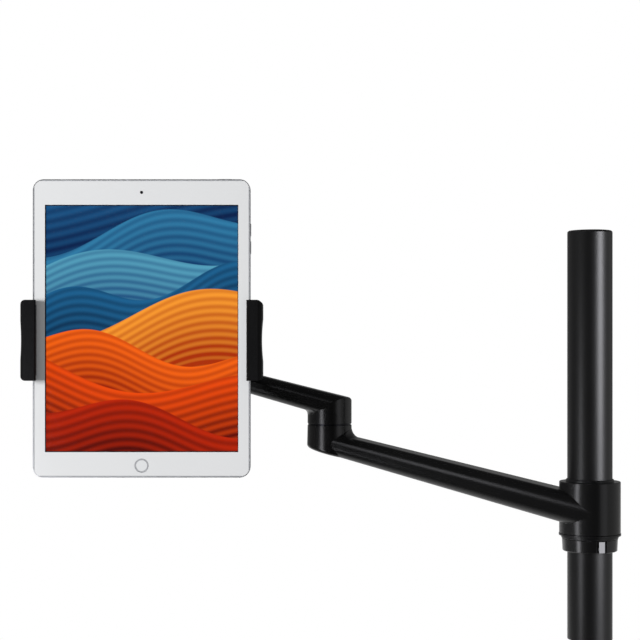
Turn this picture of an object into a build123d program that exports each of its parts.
from build123d import *
import os
from math import atan2, cos, degrees, hypot, pi, radians, sin, tan

# Adjustable screen arm: a pole, a swing arm of two sloping castings, a tilting
# wrist and a sprung two-jaw holder that grips a tablet. Millimetres. The origin
# is on the pole's axis at its lower end, X to the right, Y away from the
# viewer, Z up.

os.makedirs("parts", exist_ok=True)

# fits
run_gap = 0.05  # radial clearance of a shaft in its bush
press_gap = 0.02  # radial room drawn between pressed or glued pieces
clamp_gap = 0.3  # room between a jaw lining and the tablet

# pole
pole_length = 330.0
pole_od = 36.2
pole_wall = 2.0
cap_flange = 1.6
cap_plug_length = 14.0
cap_wall = 1.8
insert_length = 14.0
insert_thread_bore = 8.5  # tapping size of M10

# height lock
ring_bottom = 71.4
ring_height = 10.2
ring_wall = 3.8
ring_flare = 0.5  # extra radius at the ring's upper end
gib_width = 5.0
gib_height = 9.4
gib_azimuth = -75.0
gib_recess_width = 8.6
gib_recess_depth = 2.2
grub_dia = 6.0
thrust_thickness = 2.3
thrust_wall = 4.8

# sleeve of the main arm
bush_flange = 1.5
bush_flange_wall = 6.8
bush_wall = 1.2
bush_length = 15.0
sleeve_height = 41.9
sleeve_wall = 5.3
upper_bush_rise = 2.0

# main arm
arm_reach = 214.1
arm_azimuth = 169.6
arm_root_rise = 17.0  # tube centre above the sleeve's lower face
arm_climb = 54.1
arm_root_outset = 0.3  # tube wider than the sleeve
arm_root_height = 25.9
arm_root_corner = 11.9
arm_tip_inset = 0.7  # tube narrower than the elbow hub
arm_tip_height = 17.5
arm_tip_corner = 8.0
hub_draft = 1.3
hub_edge = 3.2
elbow_blend = 10.5
lower_hub_rise = 14.4  # seam above the tube centre at the elbow

# elbow
hub_od = 36.8
elbow_washer_thickness = 1.5
elbow_washer_inset = 0.5
pin_dia = 14.0
elbow_bush_od = 18.0
elbow_bush_flange_od = 23.0
elbow_bush_length = 6.5
elbow_pocket_dia = 24.0
elbow_pocket_roof = 2.0  # pocket roof above the tube centre
elbow_screw_dia = 6.0
elbow_head_dia = 10.0
elbow_head_height = 3.5
pressure_washer_od = 20.0
pressure_washer_thickness = 1.6
spring_washer_od = 12.0
spring_washer_thickness = 1.4
cap_shell = 1.4

# forearm
fore_reach = 149.4
fore_climb = 40.5
fore_rise = 15.6  # tube centre above the forearm hub's lower face
fore_trim = 0.12  # trimmed off each side of the tube where it runs into the hub
fore_root_height = 19.2
fore_root_corner = 8.7
fore_tip_width = 27.6
fore_tip_height = 13.4
fore_tip_corner = 6.1
fore_hub_edge = 3.0
fore_crown_edge = 3.2  # rounding of the hub's far top corner
fore_blend = 5.3
pin_engagement = 17.0

# wrist
wrist_hub_od = 28.0
wrist_hub_rise = 7.7  # hub top above the tube centre
wrist_bush_od = 16.0
wrist_bush_flange = 1.0
wrist_bush_flange_od = 26.0
spigot_dia = 12.0
wrist_floor = 0.5  # pocket roof below the tube centre
wrist_pocket_dia = 16.0
wrist_washer_od = 14.6
wrist_washer_thickness = 1.1
wrist_screw_dia = 6.0
wrist_head_dia = 10.0
wrist_head_height = 3.5
yoke_base = 3.6
yoke_depth = 18.0
yoke_ear = 4.8
tilt_rise = 14.3  # tilt axis above the yoke's lower face
barrel_width = 13.4
barrel_od = 18.0
tilt_washer = 0.4
tilt_bolt_dia = 6.0
tilt_head_size = 10.0
tilt_head_height = 4.0
knob_od = 25.0
knob_length = 14.0
knob_stand_off = 1.0
knob_insert_od = 9.0

# swivel
swivel_drop = 10.2  # swivel axis below the tilt axis
swivel_reach = 37.7  # tilt axis to the back of the holder
swivel_washer_thickness = 0.5
flange_thickness = 5.0
flange_od = 36.0
neck_height = 10.0
neck_web = 9.0
swivel_spigot_dia = 14.0
retainer_od = 21.0
retainer_thickness = 1.2
swivel_screw_dia = 5.0
swivel_head_dia = 8.5
swivel_head_height = 2.4

# holder
housing_width = 100.0
spring_room = 8.35  # inside the housing beyond each bar
housing_corner = 9.0
shell_depth = 14.0
shell_wall = 2.5
cover_thickness = 3.6
pad_thickness = 1.5
pad_width = 78.0
pad_height = 40.0
cover_screw_dia = 3.0

# rack and pinion
gear_module = 1.0
pinion_teeth = 16
rack_teeth = 14
addendum = 0.9
dedendum = 1.15
tooth_backlash = 0.3
bar_thickness = 5.0
bar_height = 9.0
pinion_axle_dia = 6.0
slide_gap = 0.2
jaw_travel = 24.0
jaw_spring_dia = 4.5
lug_x = 10.0  # spring lug on the bar

# jaws
jaw_height = 64.0
jaw_outer = 9.5  # outside face beyond the tablet's edge
jaw_lip_overlap = 3.0
jaw_lip_thickness = 3.7
jaw_lining = 1.4
jaw_back_reach = 20.0  # how far the back wall runs in behind the tablet
jaw_plate_height = 46.0
jaw_waist = 1.0
jaw_waist_span = 34.0
waist_radius = (jaw_waist_span ** 2 / 4 + jaw_waist ** 2) / (2 * jaw_waist)

# tablet
tablet_width = 172.5
tablet_height = 236.5
tablet_thickness = 7.5
tablet_corner = 8.6
tablet_wall = 1.0
tablet_rise = 9.4  # tablet centre above the swivel axis
glass_rim = 0.7
glass_thickness = 0.9
screen_width = 152.9
screen_height = 195.6
screen_thickness = 2.0
home_button_dia = 10.8
home_button_drop = 108.7  # below the tablet's centre
home_button_depth = 2.2
button_gap = 0.15
key_length = 10.0
key_width = 2.4
key_proud = 0.4

# turned pieces round the pole
ring_bottom_od = pole_od + 2 * ring_wall
ring_top_od = ring_bottom_od + 2 * ring_flare
thrust_od = pole_od + 2 * thrust_wall
bush_od = pole_od + 2 * bush_wall
bush_flange_od = pole_od + 2 * bush_flange_wall
sleeve_od = bush_od + 2 * sleeve_wall
arm_root_width = sleeve_od + arm_root_outset

# turned pieces round the elbow
arm_tip_width = hub_od - arm_tip_inset
fore_root_width = hub_od + 2 * fore_trim
elbow_washer_od = hub_od - 2 * elbow_washer_inset

# levels along the pole
ring_top = ring_bottom + ring_height
thrust_top = ring_top + thrust_thickness
sleeve_bottom = thrust_top + bush_flange
sleeve_top = sleeve_bottom + sleeve_height
arm_root_z = sleeve_bottom + arm_root_rise

# elbow and wrist places
elbow_x = arm_reach * cos(radians(arm_azimuth))
elbow_y = arm_reach * sin(radians(arm_azimuth))
arm_tip_z = arm_root_z + arm_climb
seam_z = arm_tip_z + lower_hub_rise
fore_bottom = seam_z + elbow_washer_thickness
fore_root_z = fore_bottom + fore_rise
wrist_x = elbow_x - fore_reach
wrist_y = elbow_y
fore_tip_z = fore_root_z + fore_climb
wrist_top = fore_tip_z + wrist_hub_rise
yoke_bottom = wrist_top + wrist_bush_flange
tilt_z = yoke_bottom + tilt_rise
hold_z = tilt_z - swivel_drop
hold_back = wrist_y - swivel_reach  # rear face of the holder
tablet_z = hold_z + tablet_rise

# the gear and what the housing needs round it
pitch_radius = gear_module * pinion_teeth / 2
bar_low = pitch_radius + dedendum
bar_high = bar_low + bar_height
housing_height = 2 * (bar_high + spring_room + shell_wall)

# directions of the two sloping tubes
arm_pitch = atan2(arm_climb, arm_reach)
arm_side = Vector(-sin(radians(arm_azimuth)), cos(radians(arm_azimuth)), 0)
arm_line = Vector(
    cos(radians(arm_azimuth)) * cos(arm_pitch),
    sin(radians(arm_azimuth)) * cos(arm_pitch),
    sin(arm_pitch),
)
arm_up = arm_line.cross(arm_side) * -1
if arm_up.Z < 0:
    arm_up = arm_up * -1
fore_pitch = atan2(fore_climb, fore_reach)
fore_line = Vector(-cos(fore_pitch), 0, sin(fore_pitch))
fore_side = Vector(0, -1, 0)
fore_up = Vector(sin(fore_pitch), 0, cos(fore_pitch))


# pole

with BuildPart() as pole_tube:
    with BuildSketch():
        Circle(pole_od / 2)
        Circle(pole_od / 2 - pole_wall, mode=Mode.SUBTRACT)
    extrude(amount=pole_length - cap_flange)
pole_tube.part.label = "pole_tube"
export_step(pole_tube.part, "parts/pole_tube.step")

plug_radius = pole_od / 2 - pole_wall - press_gap
with BuildPart() as pole_cap:
    with BuildSketch(Plane.XY.offset(pole_length - cap_flange)):
        Circle(pole_od / 2 - 0.1)
    extrude(amount=cap_flange)
    chamfer(pole_cap.faces().sort_by(Axis.Z)[-1].edges(), cap_flange * 0.55)
    with BuildSketch(Plane.XY.offset(pole_length - cap_flange)):
        Circle(plug_radius)
        Circle(plug_radius - cap_wall, mode=Mode.SUBTRACT)
        Rectangle(2 * plug_radius - cap_wall, cap_wall)
        Rectangle(cap_wall, 2 * plug_radius - cap_wall)
    extrude(amount=-cap_plug_length)
pole_cap.part.label = "pole_cap"
export_step(pole_cap.part, "parts/pole_cap.step")

with BuildPart() as pole_joint_insert:
    with BuildSketch():
        Circle(plug_radius)
    extrude(amount=insert_length)
    chamfer(pole_joint_insert.faces().sort_by(Axis.Z)[-1].edges(), 0.8)
    with BuildSketch(Plane.XY.offset(insert_length / 2 - 1.5)):
        Circle(plug_radius)
        Circle(plug_radius - 0.8, mode=Mode.SUBTRACT)
    extrude(amount=3.0, mode=Mode.SUBTRACT)
    with BuildSketch():
        Circle(insert_thread_bore / 2)
    extrude(amount=insert_length, mode=Mode.SUBTRACT)
pole_joint_insert.part.label = "pole_joint_insert"
export_step(pole_joint_insert.part, "parts/pole_joint_insert.step")


# height lock: the ring hangs on the pole between a gib in front and a grub
# screw behind it

bore_radius = pole_od / 2 + run_gap
gib_dir = Vector(cos(radians(gib_azimuth)), sin(radians(gib_azimuth)), 0)
gib_plane = Plane((0, 0, ring_bottom), x_dir=gib_dir, z_dir=(0, 0, 1))
with BuildPart() as lock_ring:
    with BuildSketch(Plane.XY.offset(ring_bottom)):
        Circle(ring_bottom_od / 2)
    with BuildSketch(Plane.XY.offset(ring_top)):
        Circle(ring_top_od / 2)
    loft()
    chamfer(lock_ring.edges().filter_by(GeomType.CIRCLE), 0.5)
    with BuildSketch(Plane.XY.offset(ring_bottom)):
        Circle(bore_radius)
    extrude(amount=ring_height, mode=Mode.SUBTRACT)
    with BuildSketch(gib_plane):
        with Locations((ring_top_od / 2 - gib_recess_depth, 0)):
            Rectangle(2 * gib_recess_depth, gib_recess_width, align=(Align.MIN, Align.CENTER))
        with Locations((bore_radius - 1, 0)):
            Rectangle(ring_top_od / 2, gib_width + 2 * press_gap, align=(Align.MIN, Align.CENTER))
    extrude(amount=ring_height, mode=Mode.SUBTRACT)
    with BuildSketch(Plane((0, 0, ring_bottom + ring_height / 2), x_dir=(0, 0, 1), z_dir=gib_dir * -1)):
        Circle(grub_dia / 2 + press_gap)
    extrude(amount=ring_top_od, mode=Mode.SUBTRACT)
lock_ring.part.label = "lock_ring"
export_step(lock_ring.part, "parts/lock_ring.step")

gib_floor = ring_bottom + (ring_height - gib_height) / 2
with BuildPart() as lock_ring_gib:
    with BuildSketch(Plane((0, 0, gib_floor), x_dir=gib_dir, z_dir=(0, 0, 1))):
        with Locations((bore_radius + 0.1, 0)):
            Rectangle(ring_top_od / 2 - bore_radius - 0.2, gib_width, align=(Align.MIN, Align.CENTER))
        Circle(ring_top_od / 2 + 0.2, mode=Mode.INTERSECT)
        Circle(bore_radius, mode=Mode.SUBTRACT)
    extrude(amount=gib_height)
    front_edges = lock_ring_gib.faces().sort_by(SortBy.DISTANCE)[-1].edges()
    chamfer(front_edges, 0.5)
lock_ring_gib.part.label = "lock_ring_gib"
export_step(lock_ring_gib.part, "parts/lock_ring_gib.step")

grub_plane = Plane(
    gib_dir * -(bore_radius + 0.05) + Vector(0, 0, ring_bottom + ring_height / 2),
    x_dir=(0, 0, 1),
    z_dir=gib_dir * -1,
)
with BuildPart() as lock_ring_screw:
    with BuildSketch(grub_plane):
        Circle(grub_dia / 2)
    extrude(amount=ring_bottom_od / 2 - bore_radius - 0.2)
    with BuildSketch(grub_plane.offset(1.6)):
        RegularPolygon(1.5, 6)
    extrude(amount=ring_bottom_od / 2, mode=Mode.SUBTRACT)
    split(bisect_by=grub_plane.offset(0.25), keep=Keep.TOP)
lock_ring_screw.part.label = "lock_ring_screw"
export_step(lock_ring_screw.part, "parts/lock_ring_screw.step")

with BuildPart() as thrust_washer:
    with BuildSketch(Plane.XY.offset(ring_top)):
        Circle(thrust_od / 2)
        Circle(bore_radius + 0.1, mode=Mode.SUBTRACT)
    extrude(amount=thrust_thickness)
    chamfer(thrust_washer.edges().group_by(SortBy.LENGTH)[-1], 0.3)
thrust_washer.part.label = "thrust_washer"
export_step(thrust_washer.part, "parts/thrust_washer.step")


# main arm: sleeve on the pole, tapered tube, drafted elbow hub

with BuildPart() as lower_bush:
    with BuildSketch(Plane.XY.offset(thrust_top)):
        Circle(bush_flange_od / 2)
    extrude(amount=bush_flange)
    with BuildSketch(Plane.XY.offset(thrust_top)):
        Circle(bush_od / 2)
    extrude(amount=bush_flange + bush_length)
    with BuildSketch(Plane.XY.offset(thrust_top)):
        Circle(bore_radius)
    extrude(amount=bush_flange + bush_length, mode=Mode.SUBTRACT)
lower_bush.part.label = "lower_bush"
export_step(lower_bush.part, "parts/lower_bush.step")

with BuildPart() as upper_bush:
    with BuildSketch(Plane.XY.offset(sleeve_top - bush_length)):
        Circle(bush_od / 2)
    extrude(amount=bush_length + upper_bush_rise)
    chamfer(upper_bush.faces().sort_by(Axis.Z)[-1].edges(), 0.6)
    with BuildSketch(Plane.XY.offset(sleeve_top - bush_length)):
        Circle(bore_radius)
    extrude(amount=bush_length + upper_bush_rise, mode=Mode.SUBTRACT)
upper_bush.part.label = "upper_bush"
export_step(upper_bush.part, "parts/upper_bush.step")

arm_root = Vector(0, 0, arm_root_z)
arm_tip = Vector(elbow_x, elbow_y, arm_tip_z)
belly_root = arm_root - arm_up * (arm_root_height / 2)
belly_tip = arm_tip - arm_up * (arm_tip_height / 2)
belly_normal = arm_side.cross(belly_tip - belly_root).normalized()
if belly_normal.Z < 0:
    belly_normal = belly_normal * -1
belly_plane = Plane(belly_tip, x_dir=arm_side, z_dir=belly_normal)
pocket_roof_z = arm_tip_z + elbow_pocket_roof

# the casting's blend from the elbow hub down into the tube's back: a concave
# flare round the hub, kept to the pole's side and rounded off across the tube
back_root = arm_root + arm_up * (arm_root_height / 2)
back_tip = arm_tip + arm_up * (arm_tip_height / 2)
back_run = hypot(back_root.X - back_tip.X, back_root.Y - back_tip.Y)
back_slope = atan2(back_tip.Z - back_root.Z, back_run)
back_lead = hypot(back_root.X - elbow_x, back_root.Y - elbow_y) - back_run
elbow_flare_out = hub_od / 2 + elbow_blend * (1 - sin(back_slope))
elbow_flare_top = (
    back_tip.Z - (elbow_flare_out - back_lead) * tan(back_slope) + elbow_blend * cos(back_slope)
)
to_pole = Vector(-elbow_x, -elbow_y, 0).normalized()
to_pole_angle = degrees(atan2(to_pole.Y, to_pole.X))
flare_start = Vector(1, 0, 0).rotate(Axis.Z, to_pole_angle - 80)
with BuildPart() as elbow_flare:
    with BuildSketch(
        Plane((elbow_x, elbow_y, 0), x_dir=flare_start, z_dir=flare_start.cross(Vector(0, 0, 1)))
    ):
        with BuildLine():
            flare_arc = CenterArc(
                (hub_od / 2 + elbow_blend, elbow_flare_top),
                elbow_blend,
                180,
                90 - degrees(back_slope),
            )
            Polyline(
                flare_arc @ 1,
                (elbow_flare_out, arm_tip_z - arm_tip_height / 2),
                (0, arm_tip_z - arm_tip_height / 2),
                (0, elbow_flare_top),
                flare_arc @ 0,
            )
        make_face()
    revolve(axis=Axis((elbow_x, elbow_y, 0), (0, 0, 1)), revolution_arc=160)
    with BuildSketch(Plane(arm_root, x_dir=arm_side, z_dir=arm_line)):
        Ellipse(arm_tip_width / 2 - 0.1, arm_tip_height * 0.88)
    extrude(amount=2 * arm_reach, mode=Mode.INTERSECT)

with BuildPart() as sleeve_blank:
    with BuildSketch(Plane.XY.offset(sleeve_bottom)):
        Circle(sleeve_od / 2)
    extrude(amount=sleeve_height)
    chamfer(sleeve_blank.edges().filter_by(GeomType.CIRCLE), 0.4)

with BuildPart() as main_arm:
    with BuildSketch(Plane((elbow_x, elbow_y, seam_z), x_dir=to_pole * -1, z_dir=(0, 0, -1))):
        Circle(hub_od / 2)
    extrude(amount=lower_hub_rise + arm_root_height, taper=-hub_draft)
    split(bisect_by=belly_plane, keep=Keep.TOP)
    fillet(main_arm.faces().sort_by(Axis.Z)[0].edges(), hub_edge)
    with BuildSketch(Plane(arm_root, x_dir=arm_side, z_dir=arm_line)):
        RectangleRounded(arm_root_width, arm_root_height, arm_root_corner)
    with BuildSketch(Plane(arm_tip, x_dir=arm_side, z_dir=arm_line)):
        RectangleRounded(arm_tip_width, arm_tip_height, arm_tip_corner)
    loft()
    add(elbow_flare.part)
    add(sleeve_blank.part)
    with BuildSketch(Plane.XY.offset(sleeve_bottom)):
        Circle(bush_od / 2 + press_gap)
    extrude(amount=sleeve_height, mode=Mode.SUBTRACT)
    with BuildSketch(Plane((elbow_x, elbow_y, seam_z), x_dir=(1, 0, 0), z_dir=(0, 0, 1))):
        Circle(elbow_bush_flange_od / 2 + press_gap)
    extrude(amount=-bush_flange, mode=Mode.SUBTRACT)
    with BuildSketch(Plane((elbow_x, elbow_y, seam_z), x_dir=(1, 0, 0), z_dir=(0, 0, 1))):
        Circle(elbow_bush_od / 2 + press_gap)
    extrude(amount=-hub_od, mode=Mode.SUBTRACT)
    with BuildSketch(Plane((elbow_x, elbow_y, pocket_roof_z), x_dir=(1, 0, 0), z_dir=(0, 0, 1))):
        Circle(elbow_pocket_dia / 2)
    extrude(amount=-hub_od, mode=Mode.SUBTRACT)
main_arm.part.label = "main_arm"
export_step(main_arm.part, "parts/main_arm.step")

with BuildPart() as elbow_upper_bush:
    with BuildSketch(Plane((elbow_x, elbow_y, seam_z), x_dir=(1, 0, 0), z_dir=(0, 0, 1))):
        Circle(elbow_bush_flange_od / 2)
    extrude(amount=-bush_flange)
    with BuildSketch(Plane((elbow_x, elbow_y, seam_z), x_dir=(1, 0, 0), z_dir=(0, 0, 1))):
        Circle(elbow_bush_od / 2)
    extrude(amount=-elbow_bush_length)
    with BuildSketch(Plane((elbow_x, elbow_y, seam_z), x_dir=(1, 0, 0), z_dir=(0, 0, 1))):
        Circle(pin_dia / 2 + run_gap)
    extrude(amount=-elbow_bush_length, mode=Mode.SUBTRACT)
elbow_upper_bush.part.label = "elbow_upper_bush"
export_step(elbow_upper_bush.part, "parts/elbow_upper_bush.step")

lower_flange_z = pocket_roof_z - bush_flange
with BuildPart() as elbow_lower_bush:
    with BuildSketch(Plane((elbow_x, elbow_y, lower_flange_z), x_dir=(1, 0, 0), z_dir=(0, 0, 1))):
        Circle(elbow_bush_flange_od / 2)
    extrude(amount=bush_flange)
    with BuildSketch(Plane((elbow_x, elbow_y, lower_flange_z), x_dir=(1, 0, 0), z_dir=(0, 0, 1))):
        Circle(elbow_bush_od / 2)
    extrude(amount=elbow_bush_length)
    with BuildSketch(Plane((elbow_x, elbow_y, lower_flange_z), x_dir=(1, 0, 0), z_dir=(0, 0, 1))):
        Circle(pin_dia / 2 + run_gap)
    extrude(amount=elbow_bush_length, mode=Mode.SUBTRACT)
elbow_lower_bush.part.label = "elbow_lower_bush"
export_step(elbow_lower_bush.part, "parts/elbow_lower_bush.step")

with BuildPart() as elbow_washer:
    with BuildSketch(Plane((elbow_x, elbow_y, seam_z), x_dir=(1, 0, 0), z_dir=(0, 0, 1))):
        Circle(elbow_washer_od / 2)
        Circle(pin_dia / 2 + 0.2, mode=Mode.SUBTRACT)
    extrude(amount=elbow_washer_thickness)
elbow_washer.part.label = "elbow_washer"
export_step(elbow_washer.part, "parts/elbow_washer.step")

pin_bottom = lower_flange_z + 0.3
pin_top = fore_bottom + pin_engagement
with BuildPart() as elbow_pin:
    with BuildSketch(Plane((elbow_x, elbow_y, pin_bottom), x_dir=(1, 0, 0), z_dir=(0, 0, 1))):
        Circle(pin_dia / 2)
    extrude(amount=pin_top - pin_bottom)
    chamfer(elbow_pin.edges().filter_by(GeomType.CIRCLE), 0.8)
    with BuildSketch(Plane((elbow_x, elbow_y, pin_bottom), x_dir=(1, 0, 0), z_dir=(0, 0, 1))):
        Circle(elbow_screw_dia / 2 + press_gap)
    extrude(amount=pin_engagement, mode=Mode.SUBTRACT)
elbow_pin.part.label = "elbow_pin"
export_step(elbow_pin.part, "parts/elbow_pin.step")

pressure_z = lower_flange_z - pressure_washer_thickness
with BuildPart() as elbow_pressure_washer:
    with BuildSketch(Plane((elbow_x, elbow_y, pressure_z), x_dir=(1, 0, 0), z_dir=(0, 0, 1))):
        Circle(pressure_washer_od / 2)
        Circle(elbow_screw_dia / 2 + 0.1, mode=Mode.SUBTRACT)
    extrude(amount=pressure_washer_thickness)
elbow_pressure_washer.part.label = "elbow_pressure_washer"
export_step(elbow_pressure_washer.part, "parts/elbow_pressure_washer.step")

spring_z = pressure_z - spring_washer_thickness
with BuildPart() as elbow_spring_washer:
    with BuildSketch(Plane((elbow_x, elbow_y, spring_z), x_dir=(1, 0, 0), z_dir=(0, 0, 1))):
        Circle(spring_washer_od / 2)
        Circle(elbow_screw_dia / 2 + 0.1, mode=Mode.SUBTRACT)
        with Locations((spring_washer_od / 2, 0)):
            Rectangle(spring_washer_od / 2, 1.0, mode=Mode.SUBTRACT)
    extrude(amount=spring_washer_thickness)
elbow_spring_washer.part.label = "elbow_spring_washer"
export_step(elbow_spring_washer.part, "parts/elbow_spring_washer.step")

head_z = spring_z - elbow_head_height
with BuildPart() as elbow_screw:
    with BuildSketch(Plane((elbow_x, elbow_y, head_z), x_dir=(1, 0, 0), z_dir=(0, 0, 1))):
        Circle(elbow_head_dia / 2)
    extrude(amount=elbow_head_height)
    chamfer(elbow_screw.faces().sort_by(Axis.Z)[0].edges(), 0.4)
    with BuildSketch(Plane((elbow_x, elbow_y, head_z), x_dir=(1, 0, 0), z_dir=(0, 0, 1))):
        RegularPolygon(2.6, 6)
    extrude(amount=2.2, mode=Mode.SUBTRACT)
    with BuildSketch(Plane((elbow_x, elbow_y, spring_z), x_dir=(1, 0, 0), z_dir=(0, 0, 1))):
        Circle(elbow_screw_dia / 2)
    extrude(amount=pin_bottom + pin_engagement - 1.0 - spring_z)
elbow_screw.part.label = "elbow_screw"
export_step(elbow_screw.part, "parts/elbow_screw.step")

cap_top = pressure_z - 0.2
with BuildPart() as elbow_cap_room:
    with BuildSketch(Plane((elbow_x, elbow_y, cap_top), x_dir=(1, 0, 0), z_dir=(0, 0, 1))):
        Circle(elbow_pocket_dia / 2 - cap_shell)
    extrude(amount=-elbow_pocket_dia)
    split(bisect_by=belly_plane.offset(cap_shell), keep=Keep.TOP)
with BuildPart() as elbow_cap:
    with BuildSketch(Plane((elbow_x, elbow_y, cap_top), x_dir=(1, 0, 0), z_dir=(0, 0, 1))):
        Circle(elbow_pocket_dia / 2 - press_gap)
    extrude(amount=-elbow_pocket_dia)
    split(bisect_by=belly_plane, keep=Keep.TOP)
    add(elbow_cap_room.part, mode=Mode.SUBTRACT)
elbow_cap.part.label = "elbow_cap"
export_step(elbow_cap.part, "parts/elbow_cap.step")


# forearm: pinned on the elbow, its tube climbs to the wrist hub

fore_root = Vector(elbow_x, elbow_y, fore_root_z)
fore_tip = Vector(wrist_x, wrist_y, fore_tip_z)
crown_root = fore_root + fore_up * (fore_root_height / 2)
crown_tip = fore_tip + fore_up * (fore_tip_height / 2)
keel_root = fore_root - fore_up * (fore_root_height / 2)
keel_tip = fore_tip - fore_up * (fore_tip_height / 2)
keel_normal = Vector(0, 1, 0).cross(keel_tip - keel_root).normalized()
if keel_normal.Z < 0:
    keel_normal = keel_normal * -1
keel_plane = Plane(keel_tip, x_dir=(0, 1, 0), z_dir=keel_normal)

# the blend from the tube's underside down into the hub, on the side of the wrist
keel_slope = atan2(keel_tip.Z - keel_root.Z, keel_root.X - keel_tip.X)
fore_flare_out = hub_od / 2 + fore_blend * (1 - sin(keel_slope))
keel_lead = elbow_x - keel_root.X
fore_flare_low = (
    keel_root.Z + (fore_flare_out - keel_lead) * tan(keel_slope) - fore_blend * cos(keel_slope)
)
fore_flare_start = Vector(1, 0, 0).rotate(Axis.Z, 100)
with BuildPart() as fore_flare:
    with BuildSketch(
        Plane(
            (elbow_x, elbow_y, 0),
            x_dir=fore_flare_start,
            z_dir=fore_flare_start.cross(Vector(0, 0, 1)),
        )
    ):
        with BuildLine():
            fore_arc = CenterArc(
                (hub_od / 2 + fore_blend, fore_flare_low),
                fore_blend,
                180,
                -(90 - degrees(keel_slope)),
            )
            Polyline(
                fore_arc @ 1,
                (fore_flare_out, fore_root_z),
                (0, fore_root_z),
                (0, fore_flare_low),
                fore_arc @ 0,
            )
        make_face()
    revolve(axis=Axis((elbow_x, elbow_y, 0), (0, 0, 1)), revolution_arc=160)
    with BuildSketch(Plane(fore_root - fore_line * hub_od, x_dir=fore_side, z_dir=fore_line)):
        Ellipse(hub_od / 2 - 1, fore_root_height * 0.78)
    extrude(amount=2 * fore_reach, mode=Mode.INTERSECT)

with BuildPart() as wrist_hub:
    with BuildSketch(Plane((wrist_x, wrist_y, wrist_top), x_dir=(1, 0, 0), z_dir=(0, 0, -1))):
        Circle(wrist_hub_od / 2)
    extrude(amount=wrist_hub_rise + 2 * fore_tip_height, taper=-hub_draft)
    split(bisect_by=keel_plane, keep=Keep.TOP)
    fillet(wrist_hub.faces().sort_by(Axis.Z)[0].edges(), fore_hub_edge)
    chamfer(wrist_hub.faces().sort_by(Axis.Z)[-1].edges(), 0.6)

# the tube runs on past the elbow's axis and is trimmed to the outline seen from
# above, the hub's circle drawn out to the wrist; its far top edge is rounded
# and the round hub closes it below
fore_length = hypot(fore_reach, fore_climb)
fore_growth = hub_od / fore_length
crown_slope = atan2(crown_tip.Z - crown_root.Z, crown_root.X - crown_tip.X)
crown_end_x = elbow_x + hub_od / 2
crown_end_z = crown_root.Z - (crown_end_x - crown_root.X) * tan(crown_slope)
wrist_pocket_roof = fore_tip_z - wrist_floor
with BuildPart() as forearm:
    with BuildSketch(Plane(fore_root - fore_line * hub_od, x_dir=fore_side, z_dir=fore_line)):
        RectangleRounded(
            fore_root_width + (fore_root_width - fore_tip_width) * fore_growth,
            fore_root_height + (fore_root_height - fore_tip_height) * fore_growth,
            fore_root_corner + (fore_root_corner - fore_tip_corner) * fore_growth,
        )
    with BuildSketch(Plane(fore_tip, x_dir=fore_side, z_dir=fore_line)):
        RectangleRounded(fore_tip_width, fore_tip_height, fore_tip_corner)
    loft()
    add(fore_flare.part)
    with BuildSketch(Plane((0, 0, fore_bottom), x_dir=(1, 0, 0), z_dir=(0, 0, 1))):
        with Locations((elbow_x, elbow_y)):
            Circle(hub_od / 2)
        with Locations((wrist_x, wrist_y)):
            Circle(fore_tip_width / 2 - fore_trim)
        make_hull()
    extrude(amount=2 * fore_climb + fore_root_height, mode=Mode.INTERSECT)
    with BuildSketch(Plane((0, elbow_y, 0), x_dir=(1, 0, 0), z_dir=(0, -1, 0))):
        with BuildLine():
            Polyline(
                (wrist_x - hub_od, crown_end_z + (crown_end_x + hub_od - wrist_x) * tan(crown_slope)),
                (crown_end_x, crown_end_z),
                (crown_end_x + hub_od * tan(radians(3)), crown_end_z - hub_od),
                (wrist_x - hub_od, crown_end_z - hub_od),
                close=True,
            )
        crown_outline = make_face()
        crown_corner = crown_outline.vertices().sort_by_distance((crown_end_x, crown_end_z))[0]
        fillet(crown_corner, fore_crown_edge)
    extrude(amount=hub_od, both=True, mode=Mode.INTERSECT)
    with BuildSketch(Plane((elbow_x, elbow_y, fore_bottom), x_dir=(1, 0, 0), z_dir=(0, 0, 1))):
        Circle(hub_od / 2)
    extrude(amount=fore_rise)
    add(wrist_hub.part)
    with BuildSketch(Plane((elbow_x, elbow_y, fore_bottom), x_dir=(1, 0, 0), z_dir=(0, 0, 1))):
        Circle(pin_dia / 2 + press_gap)
    extrude(amount=pin_engagement + 0.1, mode=Mode.SUBTRACT)
    with BuildSketch(Plane((wrist_x, wrist_y, wrist_top), x_dir=(1, 0, 0), z_dir=(0, 0, 1))):
        Circle(wrist_bush_od / 2 + press_gap)
    extrude(amount=wrist_pocket_roof - wrist_top, mode=Mode.SUBTRACT)
    with BuildSketch(Plane((wrist_x, wrist_y, wrist_pocket_roof), x_dir=(1, 0, 0), z_dir=(0, 0, 1))):
        Circle(wrist_pocket_dia / 2)
    extrude(amount=-wrist_hub_od, mode=Mode.SUBTRACT)
forearm.part.label = "forearm"
export_step(forearm.part, "parts/forearm.step")

with BuildPart() as wrist_bush:
    with BuildSketch(Plane((wrist_x, wrist_y, wrist_top), x_dir=(1, 0, 0), z_dir=(0, 0, 1))):
        Circle(wrist_bush_flange_od / 2)
    extrude(amount=wrist_bush_flange)
    with BuildSketch(Plane((wrist_x, wrist_y, wrist_top), x_dir=(1, 0, 0), z_dir=(0, 0, 1))):
        Circle(wrist_bush_od / 2)
    extrude(amount=wrist_pocket_roof - wrist_top)
    with BuildSketch(Plane((wrist_x, wrist_y, yoke_bottom), x_dir=(1, 0, 0), z_dir=(0, 0, 1))):
        Circle(spigot_dia / 2 + run_gap)
    extrude(amount=wrist_pocket_roof - yoke_bottom, mode=Mode.SUBTRACT)
wrist_bush.part.label = "wrist_bush"
export_step(wrist_bush.part, "parts/wrist_bush.step")


# wrist: a yoke turns in the wrist hub, held down by a screw and washer below

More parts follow.
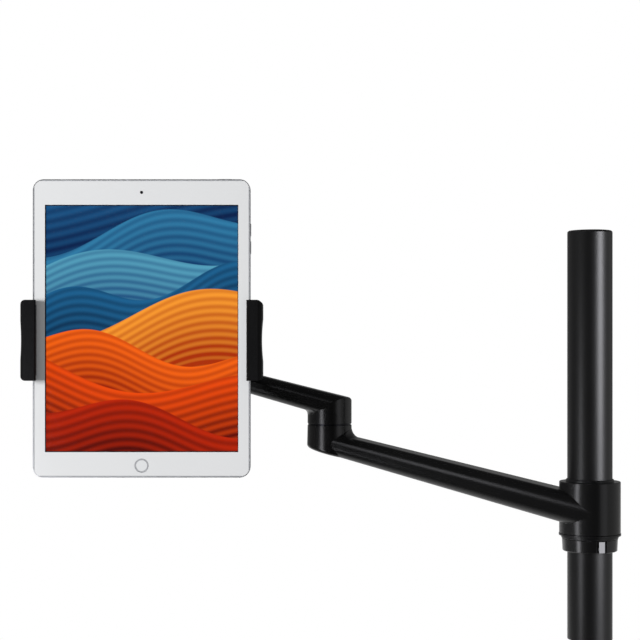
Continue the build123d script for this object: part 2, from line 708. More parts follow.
wrist_washer_z = wrist_pocket_roof - wrist_washer_thickness
with BuildPart() as wrist_washer:
    with BuildSketch(Plane((wrist_x, wrist_y, wrist_washer_z), x_dir=(1, 0, 0), z_dir=(0, 0, 1))):
        Circle(wrist_washer_od / 2)
        Circle(wrist_screw_dia / 2 + 0.1, mode=Mode.SUBTRACT)
    extrude(amount=wrist_washer_thickness)
wrist_washer.part.label = "wrist_washer"
export_step(wrist_washer.part, "parts/wrist_washer.step")

with BuildPart() as wrist_screw:
    with BuildSketch(Plane((wrist_x, wrist_y, wrist_washer_z), x_dir=(1, 0, 0), z_dir=(0, 0, -1))):
        Circle(wrist_head_dia / 2)
    extrude(amount=wrist_head_height)
    chamfer(wrist_screw.faces().sort_by(Axis.Z)[0].edges(), 0.4)
    with BuildSketch(
        Plane((wrist_x, wrist_y, wrist_washer_z - wrist_head_height), x_dir=(1, 0, 0), z_dir=(0, 0, 1))
    ):
        RegularPolygon(2.6, 6)
    extrude(amount=2.2, mode=Mode.SUBTRACT)
    with BuildSketch(Plane((wrist_x, wrist_y, wrist_washer_z), x_dir=(1, 0, 0), z_dir=(0, 0, 1))):
        Circle(wrist_screw_dia / 2)
    extrude(amount=yoke_bottom + yoke_base / 2 - 0.3 - wrist_washer_z)
wrist_screw.part.label = "wrist_screw"
export_step(wrist_screw.part, "parts/wrist_screw.step")

ear_inner = barrel_width / 2 + tilt_washer
ear_outer = ear_inner + yoke_ear
with BuildPart() as wrist_yoke:
    with BuildSketch(Plane((wrist_x, wrist_y, yoke_bottom), x_dir=(1, 0, 0), z_dir=(0, 0, 1))):
        RectangleRounded(2 * ear_outer, yoke_depth, 4.0)
    extrude(amount=yoke_base)
    with BuildSketch(Plane((wrist_x - ear_outer, wrist_y, tilt_z), x_dir=(0, 1, 0), z_dir=(1, 0, 0))):
        Circle(yoke_depth / 2)
        Rectangle(yoke_depth, tilt_rise - 0.6, align=(Align.CENTER, Align.MAX))
    extrude(amount=2 * ear_outer)
    fillet(wrist_yoke.edges().filter_by(Axis.Z).group_by(Axis.Z)[-1], 1.2)
    with BuildSketch(Plane((wrist_x - ear_inner, wrist_y, tilt_z), x_dir=(0, 1, 0), z_dir=(1, 0, 0))):
        Rectangle(2 * yoke_depth, 2 * (tilt_rise - yoke_base))
    extrude(amount=2 * ear_inner, mode=Mode.SUBTRACT)
    with BuildSketch(Plane((wrist_x - ear_outer, wrist_y, tilt_z), x_dir=(0, 1, 0), z_dir=(1, 0, 0))):
        Circle(tilt_bolt_dia / 2 + press_gap)
    extrude(amount=2 * ear_outer, mode=Mode.SUBTRACT)
    with BuildSketch(Plane((wrist_x - ear_outer, wrist_y, tilt_z), x_dir=(0, 1, 0), z_dir=(1, 0, 0))):
        RegularPolygon(tilt_head_size / 2 + press_gap, 6, major_radius=False)
    extrude(amount=yoke_ear / 2, mode=Mode.SUBTRACT)
    with BuildSketch(Plane((wrist_x, wrist_y, wrist_pocket_roof + 0.2), x_dir=(1, 0, 0), z_dir=(0, 0, 1))):
        Circle(spigot_dia / 2)
    extrude(amount=yoke_bottom - wrist_pocket_roof - 0.2)
    with BuildSketch(Plane((wrist_x, wrist_y, wrist_pocket_roof), x_dir=(1, 0, 0), z_dir=(0, 0, 1))):
        Circle(wrist_screw_dia / 2 + press_gap)
    extrude(amount=yoke_bottom + yoke_base / 2 - wrist_pocket_roof, mode=Mode.SUBTRACT)
wrist_yoke.part.label = "wrist_yoke"
export_step(wrist_yoke.part, "parts/wrist_yoke.step")

head_floor_x = wrist_x - ear_outer + yoke_ear / 2
knob_start = wrist_x + ear_outer + knob_stand_off
with BuildPart() as tilt_bolt:
    with BuildSketch(Plane((head_floor_x, wrist_y, tilt_z), x_dir=(0, 1, 0), z_dir=(-1, 0, 0))):
        RegularPolygon(tilt_head_size / 2, 6, major_radius=False)
    extrude(amount=tilt_head_height)
    with BuildSketch(Plane((head_floor_x, wrist_y, tilt_z), x_dir=(0, 1, 0), z_dir=(1, 0, 0))):
        Circle(tilt_bolt_dia / 2)
    extrude(amount=knob_start + knob_length - 3.0 - head_floor_x)
tilt_bolt.part.label = "tilt_bolt"
export_step(tilt_bolt.part, "parts/tilt_bolt.step")

with BuildPart() as tilt_washers:
    for washer_x in (wrist_x - ear_inner, wrist_x + barrel_width / 2):
        with BuildSketch(Plane((washer_x, wrist_y, tilt_z), x_dir=(0, 1, 0), z_dir=(1, 0, 0))):
            Circle(barrel_od / 2 - 0.3)
            Circle(tilt_bolt_dia / 2 + 0.1, mode=Mode.SUBTRACT)
        extrude(amount=tilt_washer)
tilt_washers.part.label = "tilt_washers"
export_step(tilt_washers.part, "parts/tilt_washers.step")

with BuildPart() as tilt_knob:
    with BuildSketch(Plane((knob_start, wrist_y, tilt_z), x_dir=(0, 1, 0), z_dir=(1, 0, 0))):
        Circle(knob_od / 2 - 2.2)
        with PolarLocations(knob_od / 2 - 3.4, 7):
            Circle(3.4)
    extrude(amount=knob_length)
    chamfer(tilt_knob.faces().sort_by(Axis.X)[-1].edges(), 1.0)
    with BuildSketch(Plane((knob_start, wrist_y, tilt_z), x_dir=(0, 1, 0), z_dir=(1, 0, 0))):
        Circle(knob_insert_od / 2 + press_gap)
    extrude(amount=knob_length - 2.0, mode=Mode.SUBTRACT)
tilt_knob.part.label = "tilt_knob"
export_step(tilt_knob.part, "parts/tilt_knob.step")

with BuildPart() as tilt_knob_insert:
    with BuildSketch(
        Plane((knob_start - knob_stand_off, wrist_y, tilt_z), x_dir=(0, 1, 0), z_dir=(1, 0, 0))
    ):
        Circle(knob_insert_od / 2)
        Circle(tilt_bolt_dia / 2 + run_gap, mode=Mode.SUBTRACT)
    extrude(amount=knob_stand_off + knob_length - 2.1)
tilt_knob_insert.part.label = "tilt_knob_insert"
export_step(tilt_knob_insert.part, "parts/tilt_knob_insert.step")


# tilt head: barrel between the yoke's ears, neck forward to the swivel flange

flange_front = hold_back + swivel_washer_thickness
flange_rear = flange_front + flange_thickness
with BuildPart() as tilt_knuckle:
    with BuildSketch(Plane((wrist_x, flange_rear, hold_z), x_dir=(1, 0, 0), z_dir=(0, -1, 0))):
        Circle(flange_od / 2)
    extrude(amount=flange_thickness)
    chamfer(tilt_knuckle.edges().filter_by(GeomType.CIRCLE), 0.5)
    with BuildSketch(
        Plane((wrist_x - barrel_width / 2, wrist_y, tilt_z), x_dir=(0, 1, 0), z_dir=(1, 0, 0))
    ):
        Circle(barrel_od / 2)
        Rectangle(wrist_y - flange_rear + 1, neck_height, align=(Align.MAX, Align.CENTER))
        with BuildLine():
            Polyline(
                (flange_rear - wrist_y - 1, -neck_height / 2 - neck_web),
                (flange_rear - wrist_y, -neck_height / 2 - neck_web),
                (flange_rear - wrist_y + neck_web, -neck_height / 2),
                (flange_rear - wrist_y - 1, -neck_height / 2),
                close=True,
            )
        make_face()
    extrude(amount=barrel_width)
    with BuildSketch(Plane((wrist_x, flange_front, hold_z), x_dir=(1, 0, 0), z_dir=(0, -1, 0))):
        Circle(swivel_spigot_dia / 2)
    extrude(amount=swivel_washer_thickness + shell_wall - 0.2)
    with BuildSketch(
        Plane((wrist_x - barrel_width / 2, wrist_y, tilt_z), x_dir=(0, 1, 0), z_dir=(1, 0, 0))
    ):
        Circle(tilt_bolt_dia / 2 + run_gap)
    extrude(amount=barrel_width, mode=Mode.SUBTRACT)
    with BuildSketch(Plane((wrist_x, hold_back - shell_wall, hold_z), x_dir=(1, 0, 0), z_dir=(0, 1, 0))):
        Circle(swivel_screw_dia / 2 + press_gap)
    extrude(amount=shell_wall + flange_thickness - 0.5, mode=Mode.SUBTRACT)
tilt_knuckle.part.label = "tilt_knuckle"
export_step(tilt_knuckle.part, "parts/tilt_knuckle.step")

with BuildPart() as swivel_washer:
    with BuildSketch(Plane((wrist_x, flange_front, hold_z), x_dir=(1, 0, 0), z_dir=(0, -1, 0))):
        Circle(flange_od / 2 - 1.5)
        Circle(swivel_spigot_dia / 2 + press_gap, mode=Mode.SUBTRACT)
    extrude(amount=swivel_washer_thickness)
swivel_washer.part.label = "swivel_washer"
export_step(swivel_washer.part, "parts/swivel_washer.step")

retainer_y = hold_back - shell_wall
with BuildPart() as swivel_retainer:
    with BuildSketch(Plane((wrist_x, retainer_y, hold_z), x_dir=(1, 0, 0), z_dir=(0, -1, 0))):
        Circle(retainer_od / 2)
        Circle(swivel_screw_dia / 2 + 0.1, mode=Mode.SUBTRACT)
    extrude(amount=retainer_thickness)
swivel_retainer.part.label = "swivel_retainer"
export_step(swivel_retainer.part, "parts/swivel_retainer.step")

with BuildPart() as swivel_screw:
    with BuildSketch(
        Plane((wrist_x, retainer_y - retainer_thickness, hold_z), x_dir=(1, 0, 0), z_dir=(0, -1, 0))
    ):
        Circle(swivel_head_dia / 2)
    extrude(amount=swivel_head_height)
    with BuildSketch(
        Plane((wrist_x, retainer_y - retainer_thickness, hold_z), x_dir=(1, 0, 0), z_dir=(0, 1, 0))
    ):
        Circle(swivel_screw_dia / 2)
    extrude(amount=retainer_thickness + shell_wall + flange_thickness - 1.5)
swivel_screw.part.label = "swivel_screw"
export_step(swivel_screw.part, "parts/swivel_screw.step")


# holder housing: back shell with guide rails, front cover, rubber pad

cover_y = hold_back - shell_depth
pad_y = cover_y - cover_thickness
bar_rear_y = cover_y + slide_gap + bar_thickness
room_width = housing_width - 2 * shell_wall
room_height = housing_height - 2 * shell_wall
boss_x = room_width / 2 - 4.0
boss_z = room_height / 2 - 4.0
rail_x = lug_x - 3.0
jaw_spring_z = bar_high + 1.9 + jaw_spring_dia / 2
post_x = -lug_x - 26.0
with BuildPart() as holder_back_shell:
    with BuildSketch(Plane((wrist_x, hold_back, hold_z), x_dir=(1, 0, 0), z_dir=(0, -1, 0))):
        RectangleRounded(housing_width, housing_height, housing_corner)
    extrude(amount=shell_depth)
    fillet(holder_back_shell.faces().sort_by(Axis.Y)[-1].edges(), 2.4)
    with BuildSketch(Plane((wrist_x, hold_back - shell_wall, hold_z), x_dir=(1, 0, 0), z_dir=(0, -1, 0))):
        RectangleRounded(room_width, room_height, housing_corner - shell_wall)
    extrude(amount=shell_depth, mode=Mode.SUBTRACT)
    # rails: one above each bar, up to the lug's path, and one behind each bar
    with BuildSketch(Plane((wrist_x, hold_back - shell_wall, hold_z), x_dir=(1, 0, 0), z_dir=(0, -1, 0))):
        with Locations((-room_width / 2, bar_high + slide_gap)):
            Rectangle(room_width / 2 + rail_x, 1.4, align=(Align.MIN, Align.MIN))
        with Locations((room_width / 2, -bar_high - slide_gap)):
            Rectangle(room_width / 2 + rail_x, 1.4, align=(Align.MAX, Align.MAX))
    extrude(amount=shell_depth - shell_wall - 0.1)
    with BuildSketch(Plane((wrist_x, hold_back - shell_wall, hold_z), x_dir=(1, 0, 0), z_dir=(0, -1, 0))):
        with Locations((0, bar_high - bar_height / 2), (0, bar_height / 2 - bar_high)):
            Rectangle(room_width, 2.4)
    extrude(amount=hold_back - shell_wall - bar_rear_y - slide_gap)
    with BuildSketch(Plane((wrist_x, hold_back - shell_wall, hold_z), x_dir=(1, 0, 0), z_dir=(0, -1, 0))):
        with GridLocations(2 * boss_x, 2 * boss_z, 2, 2):
            Circle(3.4)
        with Locations((post_x, jaw_spring_z), (-post_x, -jaw_spring_z)):
            Circle(1.8)
    extrude(amount=shell_depth - shell_wall - 0.1)
    # slots for the two bars
    with BuildSketch(Plane((wrist_x, bar_rear_y + slide_gap, hold_z), x_dir=(1, 0, 0), z_dir=(0, -1, 0))):
        with Locations((room_width / 2 - 2, bar_low - slide_gap)):
            Rectangle(shell_wall + 4, bar_height + 2 * slide_gap, align=(Align.MIN, Align.MIN))
        with Locations((-room_width / 2 + 2, slide_gap - bar_low)):
            Rectangle(shell_wall + 4, bar_height + 2 * slide_gap, align=(Align.MAX, Align.MAX))
    extrude(amount=shell_depth, mode=Mode.SUBTRACT)
    # swivel bore and screw holes
    with BuildSketch(Plane((wrist_x, hold_back, hold_z), x_dir=(1, 0, 0), z_dir=(0, -1, 0))):
        Circle(swivel_spigot_dia / 2 + run_gap)
        with GridLocations(2 * boss_x, 2 * boss_z, 2, 2):
            Circle(cover_screw_dia / 2 + press_gap)
    extrude(amount=shell_depth, mode=Mode.SUBTRACT)
    with BuildSketch(Plane((wrist_x, hold_back, hold_z), x_dir=(1, 0, 0), z_dir=(0, -1, 0))):
        with GridLocations(2 * boss_x, 2 * boss_z, 2, 2):
            Circle(cover_screw_dia + 0.1)
    extrude(amount=2.0, mode=Mode.SUBTRACT)
holder_back_shell.part.label = "holder_back_shell"
export_step(holder_back_shell.part, "parts/holder_back_shell.step")

with BuildPart() as holder_front_cover:
    with BuildSketch(Plane((wrist_x, cover_y, hold_z), x_dir=(1, 0, 0), z_dir=(0, -1, 0))):
        RectangleRounded(housing_width, housing_height, housing_corner)
    extrude(amount=cover_thickness)
    fillet(holder_front_cover.faces().sort_by(Axis.Y)[0].edges(), 1.2)
    with BuildSketch(Plane((wrist_x, cover_y, hold_z), x_dir=(1, 0, 0), z_dir=(0, -1, 0))):
        Circle(pinion_axle_dia / 2 + press_gap)
        with GridLocations(2 * boss_x, 2 * boss_z, 2, 2):
            Circle(cover_screw_dia / 2 + press_gap)
    extrude(amount=cover_thickness - 0.8, mode=Mode.SUBTRACT)
holder_front_cover.part.label = "holder_front_cover"
export_step(holder_front_cover.part, "parts/holder_front_cover.step")

with BuildPart() as holder_pad:
    with BuildSketch(Plane((wrist_x, pad_y, hold_z), x_dir=(1, 0, 0), z_dir=(0, -1, 0))):
        RectangleRounded(pad_width, pad_height, 5.0)
    extrude(amount=pad_thickness)
    with BuildSketch(Plane((wrist_x, pad_y - pad_thickness + 0.5, hold_z), x_dir=(1, 0, 0), z_dir=(0, -1, 0))):
        with GridLocations(0, pad_height / 5, 1, 4):
            SlotOverall(pad_width - 12, 1.6)
    extrude(amount=pad_thickness, mode=Mode.SUBTRACT)
holder_pad.part.label = "holder_pad"
export_step(holder_pad.part, "parts/holder_pad.step")

with BuildPart() as holder_screws:
    with BuildSketch(Plane((wrist_x, hold_back - 0.2, hold_z), x_dir=(1, 0, 0), z_dir=(0, -1, 0))):
        with GridLocations(2 * boss_x, 2 * boss_z, 2, 2):
            Circle(cover_screw_dia)
    extrude(amount=1.8)
    with BuildSketch(Plane((wrist_x, hold_back - 0.2, hold_z), x_dir=(1, 0, 0), z_dir=(0, -1, 0))):
        with GridLocations(2 * boss_x, 2 * boss_z, 2, 2):
            RegularPolygon(1.2, 6)
    extrude(amount=1.0, mode=Mode.SUBTRACT)
    with BuildSketch(Plane((wrist_x, hold_back - 2.0, hold_z), x_dir=(1, 0, 0), z_dir=(0, -1, 0))):
        with GridLocations(2 * boss_x, 2 * boss_z, 2, 2):
            Circle(cover_screw_dia / 2)
    extrude(amount=shell_depth - 2.0 + cover_thickness - 1.0)
holder_screws.part.label = "holder_screws"
export_step(holder_screws.part, "parts/holder_screws.step")

with BuildPart() as pinion_axle:
    with BuildSketch(
        Plane((wrist_x, cover_y - cover_thickness + 0.9, hold_z), x_dir=(1, 0, 0), z_dir=(0, 1, 0))
    ):
        Circle(pinion_axle_dia / 2)
    extrude(amount=cover_thickness - 0.9 + slide_gap + bar_thickness + 0.8)
    with BuildSketch(Plane((wrist_x, bar_rear_y + 0.1, hold_z), x_dir=(1, 0, 0), z_dir=(0, 1, 0))):
        Circle(pinion_axle_dia / 2 + 1.2)
    extrude(amount=0.8)
pinion_axle.part.label = "pinion_axle"
export_step(pinion_axle.part, "parts/pinion_axle.step")

# the two jaw springs lie along the housing, from a post to the lug of a bar
with BuildPart() as jaw_springs:
    with BuildSketch(
        Plane(
            (wrist_x + post_x + 1.9, bar_rear_y - bar_thickness / 2, hold_z + jaw_spring_z),
            x_dir=(0, 1, 0),
            z_dir=(1, 0, 0),
        )
    ):
        Circle(jaw_spring_dia / 2)
        Circle(jaw_spring_dia / 2 - 0.8, mode=Mode.SUBTRACT)
    extrude(amount=lug_x - post_x - 2.0)
with BuildPart() as jaw_spring_upper:
    add(jaw_springs.part)
jaw_spring_upper.part.label = "jaw_spring_upper"
export_step(jaw_spring_upper.part, "parts/jaw_spring_upper.step")
half_turn = Axis((wrist_x, 0, hold_z), (0, 1, 0))
with BuildPart() as jaw_spring_lower:
    add(jaw_springs.part.rotate(half_turn, 180))
jaw_spring_lower.part.label = "jaw_spring_lower"
export_step(jaw_spring_lower.part, "parts/jaw_spring_lower.step")


# rack and pinion: the pinion turns between the racks of the two jaw bars, so
# that both jaws open and close by the same amount

tooth_pitch = pi * gear_module
pinion_tip_half = (0.787 * gear_module - tooth_backlash) / 2
pinion_pitch_half = (tooth_pitch / 2 - tooth_backlash) / 2
pinion_base_half = (1.70 * gear_module - tooth_backlash) / 2
with BuildPart() as pinion:
    with BuildSketch(Plane((wrist_x, bar_rear_y, hold_z), x_dir=(1, 0, 0), z_dir=(0, -1, 0))):
        Circle(pitch_radius - dedendum)
        with PolarLocations(0, pinion_teeth):
            Polygon(
                (pitch_radius - dedendum - 0.3, -pinion_base_half),
                (pitch_radius - 0.48, -pinion_base_half),
                (pitch_radius, -pinion_pitch_half),
                (pitch_radius + addendum, -pinion_tip_half),
                (pitch_radius + addendum, pinion_tip_half),
                (pitch_radius, pinion_pitch_half),
                (pitch_radius - 0.48, pinion_base_half),
                (pitch_radius - dedendum - 0.3, pinion_base_half),
                align=None,
            )
        Circle(pinion_axle_dia / 2 + run_gap, mode=Mode.SUBTRACT)
    extrude(amount=bar_thickness)
pinion.part.label = "pinion"
export_step(pinion.part, "parts/pinion.step")

tablet_half = tablet_width / 2
tablet_back = pad_y - pad_thickness - clamp_gap
tablet_front = tablet_back - tablet_thickness
jaw_inner = tablet_half - jaw_back_reach
jaw_face = tablet_half + jaw_outer
plate_inner = jaw_inner + 1.6
plate_outer = jaw_face - 2.8
rack_tip_half = (tooth_pitch / 2 - tooth_backlash) / 2 - addendum * tan(radians(20))
rack_root_half = (tooth_pitch / 2 - tooth_backlash) / 2 + dedendum * tan(radians(20))
bar_end = -38.0
with BuildPart() as jaw_slide_right:
    with BuildSketch(Plane((wrist_x, bar_rear_y, hold_z), x_dir=(1, 0, 0), z_dir=(0, -1, 0))):
        with Locations((bar_end, bar_low)):
            Rectangle(plate_inner - bar_end + 5, bar_height, align=(Align.MIN, Align.MIN))
        with Locations(
            [((i + 0.5) * tooth_pitch, pitch_radius) for i in range(-rack_teeth + 3, 3)]
        ):
            Polygon(
                (-rack_root_half, dedendum + 0.2),
                (-rack_root_half, dedendum),
                (-rack_tip_half, -addendum),
                (rack_tip_half, -addendum),
                (rack_root_half, dedendum),
                (rack_root_half, dedendum + 0.2),
                align=None,
            )
        with Locations(((plate_inner + plate_outer) / 2, 0)):
            RectangleRounded(plate_outer - plate_inner, jaw_plate_height, 2.0)
        with Locations((lug_x, bar_high - 0.5)):
            Rectangle(3.0, jaw_spring_z + jaw_spring_dia / 2 - bar_high + 0.8, align=(Align.MIN, Align.MIN))
    extrude(amount=bar_thickness)
    with BuildSketch(Plane((wrist_x, bar_rear_y, hold_z), x_dir=(1, 0, 0), z_dir=(0, -1, 0))):
        with GridLocations(0, jaw_plate_height * 0.62, 1, 2):
            with Locations(((plate_inner + plate_outer) / 2, 0)):
                Circle(1.7 + press_gap)
    extrude(amount=bar_thickness, mode=Mode.SUBTRACT)
jaw_slide_right.part.label = "jaw_slide_right"
export_step(jaw_slide_right.part, "parts/jaw_slide_right.step")

lining_out = clamp_gap + jaw_lining
grip_back_y = tablet_back + lining_out
grip_lip_y = tablet_front - lining_out
grip_front_y = grip_lip_y - jaw_lip_thickness
bar_front_y = bar_rear_y - bar_thickness
lip_inner = tablet_half - jaw_lip_overlap
with BuildPart() as jaw_grip_right:
    with BuildSketch(Plane((wrist_x, 0, hold_z - jaw_height / 2), x_dir=(1, 0, 0), z_dir=(0, 0, 1))):
        with BuildLine():
            Polyline(
                (jaw_inner, bar_front_y),
                (jaw_face, bar_front_y),
                (jaw_face, grip_front_y),
                (lip_inner, grip_front_y),
                (lip_inner, grip_lip_y),
                (tablet_half + lining_out, grip_lip_y),
                (tablet_half + lining_out, grip_back_y),
                (jaw_inner, grip_back_y),
                close=True,
            )
        make_face()
    extrude(amount=jaw_height)
    fillet(
        jaw_grip_right.edges().filter_by(Axis.Z).filter_by(
            lambda e: abs(e.center().X - wrist_x - jaw_face) < 0.1 and e.center().Y < tablet_front
        ),
        4.0,
    )
    fillet(
        jaw_grip_right.edges().filter_by(Axis.Z).filter_by(
            lambda e: abs(e.center().X - wrist_x - lip_inner) < 0.1
        ),
        1.2,
    )
    # rim behind the wall that takes the slide's plate
    with BuildSketch(Plane((wrist_x, bar_front_y, hold_z), x_dir=(1, 0, 0), z_dir=(0, 1, 0))):
        with Locations((jaw_inner, 0)):
            Rectangle(jaw_face - jaw_inner, jaw_height, align=(Align.MIN, Align.CENTER))
        with Locations(((plate_inner + plate_outer) / 2, 0)):
            Rectangle(
                plate_outer - plate_inner + 2 * press_gap,
                jaw_plate_height + 2 * press_gap,
                mode=Mode.SUBTRACT,
            )
        with Locations((jaw_inner - 1, -bar_low + press_gap)):
            Rectangle(
                4, bar_height + 2 * press_gap, align=(Align.MIN, Align.MAX), mode=Mode.SUBTRACT
            )
    extrude(amount=bar_thickness + 0.6)
    # outline seen from the front: round ends and a slight waist
    with BuildSketch(Plane((wrist_x, 10, hold_z), x_dir=(1, 0, 0), z_dir=(0, -1, 0))):
        with Locations((jaw_face, 0)):
            RectangleRounded(2 * (jaw_face - jaw_inner), jaw_height, 4.5, align=(Align.MAX, Align.CENTER))
        with Locations((jaw_face + waist_radius - jaw_waist, 0)):
            Circle(waist_radius, mode=Mode.SUBTRACT)
    extrude(amount=80, mode=Mode.INTERSECT)
    with BuildSketch(Plane((wrist_x, bar_front_y, hold_z), x_dir=(1, 0, 0), z_dir=(0, -1, 0))):
        with GridLocations(0, jaw_plate_height * 0.62, 1, 2):
            with Locations(((plate_inner + plate_outer) / 2, 0)):
                Circle(1.7 + press_gap)
    extrude(amount=3.0, mode=Mode.SUBTRACT)
jaw_grip_right.part.label = "jaw_grip_right"
export_step(jaw_grip_right.part, "parts/jaw_grip_right.step")

with BuildPart() as jaw_lining_right:
    with BuildSketch(
        Plane((wrist_x, 0, hold_z - jaw_height / 2 + 4), x_dir=(1, 0, 0), z_dir=(0, 0, 1))
    ):
        with BuildLine():
            Polyline(
                (jaw_inner + 4, grip_back_y),
                (tablet_half + lining_out, grip_back_y),
                (tablet_half + lining_out, grip_lip_y),
                (lip_inner, grip_lip_y),
                (lip_inner, tablet_front - clamp_gap),
                (tablet_half + clamp_gap, tablet_front - clamp_gap),
                (tablet_half + clamp_gap, tablet_back + clamp_gap),
                (jaw_inner + 4, tablet_back + clamp_gap),
                close=True,
            )
        make_face()
    extrude(amount=jaw_height - 8)
jaw_lining_right.part.label = "jaw_lining_right"
export_step(jaw_lining_right.part, "parts/jaw_lining_right.step")

with BuildPart() as jaw_screws_right:
    with BuildSketch(Plane((wrist_x, bar_rear_y, hold_z), x_dir=(1, 0, 0), z_dir=(0, 1, 0))):
        with GridLocations(0, jaw_plate_height * 0.62, 1, 2):
            with Locations(((plate_inner + plate_outer) / 2, 0)):
                Circle(3.0)
    extrude(amount=1.8)
    with BuildSketch(Plane((wrist_x, bar_rear_y + 1.8, hold_z), x_dir=(1, 0, 0), z_dir=(0, -1, 0))):
        with GridLocations(0, jaw_plate_height * 0.62, 1, 2):
            with Locations(((plate_inner + plate_outer) / 2, 0)):
                RegularPolygon(1.4, 6)
    extrude(amount=1.1, mode=Mode.SUBTRACT)
    with BuildSketch(Plane((wrist_x, bar_rear_y, hold_z), x_dir=(1, 0, 0), z_dir=(0, -1, 0))):
        with GridLocations(0, jaw_plate_height * 0.62, 1, 2):
            with Locations(((plate_inner + plate_outer) / 2, 0)):
                Circle(1.7)
    extrude(amount=bar_thickness + 2.6)
jaw_screws_right.part.label = "jaw_screws_right"
export_step(jaw_screws_right.part, "parts/jaw_screws_right.step")

# the left jaw is the right one turned half round the swivel axis
with BuildPart() as jaw_slide_left:
    add(jaw_slide_right.part.rotate(half_turn, 180))
jaw_slide_left.part.label = "jaw_slide_left"
export_step(jaw_slide_left.part, "parts/jaw_slide_left.step")
with BuildPart() as jaw_grip_left:
    add(jaw_grip_right.part.rotate(half_turn, 180))
jaw_grip_left.part.label = "jaw_grip_left"
export_step(jaw_grip_left.part, "parts/jaw_grip_left.step")
with BuildPart() as jaw_lining_left:
    add(jaw_lining_right.part.rotate(half_turn, 180))
jaw_lining_left.part.label = "jaw_lining_left"
export_step(jaw_lining_left.part, "parts/jaw_lining_left.step")
with BuildPart() as jaw_screws_left:
    add(jaw_screws_right.part.rotate(half_turn, 180))
jaw_screws_left.part.label = "jaw_screws_left"
export_step(jaw_screws_left.part, "parts/jaw_screws_left.step")


# tablet held by the jaws

room_x = tablet_width - 12.5
room_z = tablet_height - 12.5
room_floor_y = tablet_back - tablet_wall
key_y = tablet_front + 3.7
power_x = tablet_half - 20.0
volume_up_z = tablet_height / 2 - 40.0
volume_down_z = volume_up_z - 14.0
camera_z = tablet_height / 2 - 10.4
with BuildPart() as tablet_back_shell:
    with BuildSketch(Plane((wrist_x, tablet_back, tablet_z), x_dir=(1, 0, 0), z_dir=(0, -1, 0))):
        RectangleRounded(tablet_width, tablet_height, tablet_corner)
    extrude(amount=tablet_thickness)
    fillet(tablet_back_shell.faces().sort_by(Axis.Y)[-1].edges(), 2.8)
    chamfer(tablet_back_shell.faces().sort_by(Axis.Y)[0].edges(), 0.3)
    with BuildSketch(Plane((wrist_x, tablet_front, tablet_z), x_dir=(1, 0, 0), z_dir=(0, 1, 0))):
        RectangleRounded(
            tablet_width - 2 * glass_rim, tablet_height - 2 * glass_rim, tablet_corner - glass_rim
        )
    extrude(amount=glass_thickness, mode=Mode.SUBTRACT)
    with BuildSketch(Plane((wrist_x, tablet_front, tablet_z), x_dir=(1, 0, 0), z_dir=(0, 1, 0))):
        RectangleRounded(room_x, room_z, 5.0)
    extrude(amount=tablet_thickness - tablet_wall, mode=Mode.SUBTRACT)
    with BuildSketch(
        Plane((wrist_x, tablet_front, tablet_z - home_button_drop), x_dir=(1, 0, 0), z_dir=(0, 1, 0))
    ):
        Circle(home_button_dia / 2 + button_gap)
    extrude(amount=home_button_depth + 1.0, mode=Mode.SUBTRACT)
    with BuildSketch(
        Plane((wrist_x + power_x, key_y, tablet_z + tablet_height / 2), x_dir=(1, 0, 0), z_dir=(0, 0, -1))
    ):
        SlotOverall(key_length + 2 * button_gap, key_width + 2 * button_gap)
    extrude(amount=4.4, mode=Mode.SUBTRACT)
    for key_z in (volume_up_z, volume_down_z):
        with BuildSketch(
            Plane((wrist_x + tablet_half, key_y, tablet_z + key_z), x_dir=(0, 0, 1), z_dir=(-1, 0, 0))
        ):
            SlotOverall(key_length + 2 * button_gap, key_width + 2 * button_gap)
        extrude(amount=4.4, mode=Mode.SUBTRACT)
    with BuildSketch(
        Plane((wrist_x - 70.0, tablet_back, tablet_z + 98.0), x_dir=(1, 0, 0), z_dir=(0, -1, 0))
    ):
        Circle(4.0 + press_gap)
    extrude(amount=tablet_wall, mode=Mode.SUBTRACT)
    with BuildSketch(
        Plane((wrist_x, key_y, tablet_z - tablet_height / 2), x_dir=(1, 0, 0), z_dir=(0, 0, 1))
    ):
        SlotOverall(9.0, 2.6)
    extrude(amount=6.0, mode=Mode.SUBTRACT)
tablet_back_shell.part.label = "tablet_back_shell"
export_step(tablet_back_shell.part, "parts/tablet_back_shell.step")

with BuildPart() as tablet_glass:
    with BuildSketch(Plane((wrist_x, tablet_front, tablet_z), x_dir=(1, 0, 0), z_dir=(0, 1, 0))):
        RectangleRounded(
            tablet_width - 2 * glass_rim - 2 * press_gap,
            tablet_height - 2 * glass_rim - 2 * press_gap,
            tablet_corner - glass_rim,
        )
        with Locations((0, home_button_drop)):
            Circle(home_button_dia / 2 + button_gap, mode=Mode.SUBTRACT)
    extrude(amount=glass_thickness)
tablet_glass.part.label = "tablet_glass"
export_step(tablet_glass.part, "parts/tablet_glass.step")

screen_y = tablet_front + glass_thickness
with BuildPart() as tablet_display:
    with BuildSketch(Plane((wrist_x, screen_y, tablet_z), x_dir=(1, 0, 0), z_dir=(0, 1, 0))):
        RectangleRounded(screen_width + 4, screen_height + 4, 1.0)
    extrude(amount=screen_thickness)
tablet_display.part.label = "tablet_display"
export_step(tablet_display.part, "parts/tablet_display.step")

with BuildPart() as tablet_battery:
    with BuildSketch(Plane((wrist_x, room_floor_y, tablet_z - 18.0), x_dir=(1, 0, 0), z_dir=(0, -1, 0))):
        with GridLocations(76.0, 0, 2, 1):
            RectangleRounded(72.0, 144.0, 2.0)
    extrude(amount=2.9)
tablet_battery.part.label = "tablet_battery"
export_step(tablet_battery.part, "parts/tablet_battery.step")

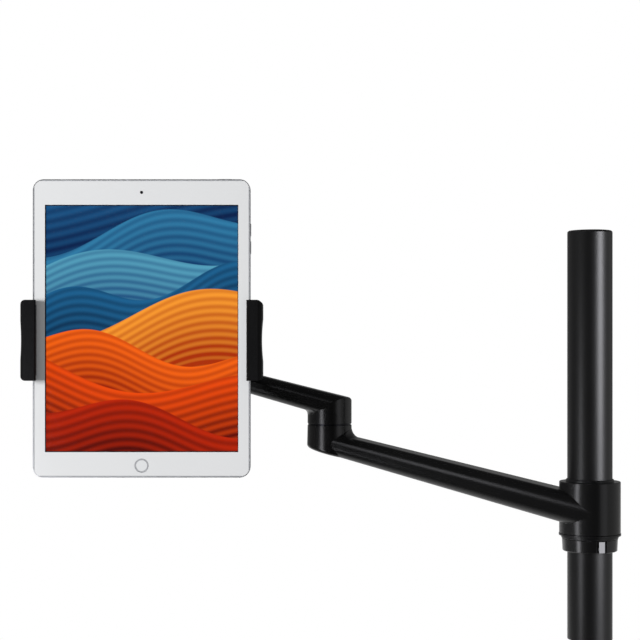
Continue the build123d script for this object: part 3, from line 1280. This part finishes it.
with BuildPart() as tablet_board:
    with BuildSketch(Plane((wrist_x, room_floor_y, tablet_z + 74.0), x_dir=(1, 0, 0), z_dir=(0, -1, 0))):
        RectangleRounded(146.0, 26.0, 2.0)
    extrude(amount=1.0)
    with BuildSketch(
        Plane((wrist_x, room_floor_y - 1.0, tablet_z + 74.0), x_dir=(1, 0, 0), z_dir=(0, -1, 0))
    ):
        with GridLocations(32.0, 0, 4, 1):
            Rectangle(14.0, 14.0)
    extrude(amount=1.2)
tablet_board.part.label = "tablet_board"
export_step(tablet_board.part, "parts/tablet_board.step")

with BuildPart() as tablet_front_camera:
    with BuildSketch(Plane((wrist_x, screen_y, tablet_z + camera_z), x_dir=(1, 0, 0), z_dir=(0, 1, 0))):
        Circle(1.7)
    extrude(amount=2.6)
tablet_front_camera.part.label = "tablet_front_camera"
export_step(tablet_front_camera.part, "parts/tablet_front_camera.step")

with BuildPart() as tablet_rear_camera:
    with BuildSketch(
        Plane((wrist_x - 70.0, tablet_back + 0.4, tablet_z + 98.0), x_dir=(1, 0, 0), z_dir=(0, -1, 0))
    ):
        Circle(4.0)
    extrude(amount=3.4)
    chamfer(tablet_rear_camera.faces().sort_by(Axis.Y)[-1].edges(), 0.3)
tablet_rear_camera.part.label = "tablet_rear_camera"
export_step(tablet_rear_camera.part, "parts/tablet_rear_camera.step")

with BuildPart() as home_button:
    with BuildSketch(
        Plane((wrist_x, tablet_front + 0.1, tablet_z - home_button_drop), x_dir=(1, 0, 0), z_dir=(0, 1, 0))
    ):
        Circle(home_button_dia / 2)
    extrude(amount=home_button_depth)
home_button.part.label = "home_button"
export_step(home_button.part, "parts/home_button.step")

with BuildPart() as power_button:
    with BuildSketch(
        Plane(
            (wrist_x + power_x, key_y, tablet_z + tablet_height / 2 + key_proud),
            x_dir=(1, 0, 0),
            z_dir=(0, 0, -1),
        )
    ):
        SlotOverall(key_length, key_width)
    extrude(amount=4.2)
power_button.part.label = "power_button"
export_step(power_button.part, "parts/power_button.step")

for key_name, key_z in (("volume_up_button", volume_up_z), ("volume_down_button", volume_down_z)):
    with BuildPart() as volume_button:
        with BuildSketch(
            Plane(
                (wrist_x + tablet_half + key_proud, key_y, tablet_z + key_z),
                x_dir=(0, 0, 1),
                z_dir=(-1, 0, 0),
            )
        ):
            SlotOverall(key_length, key_width)
        extrude(amount=4.2)
    volume_button.part.label = key_name
    export_step(volume_button.part, "parts/" + key_name + ".step")
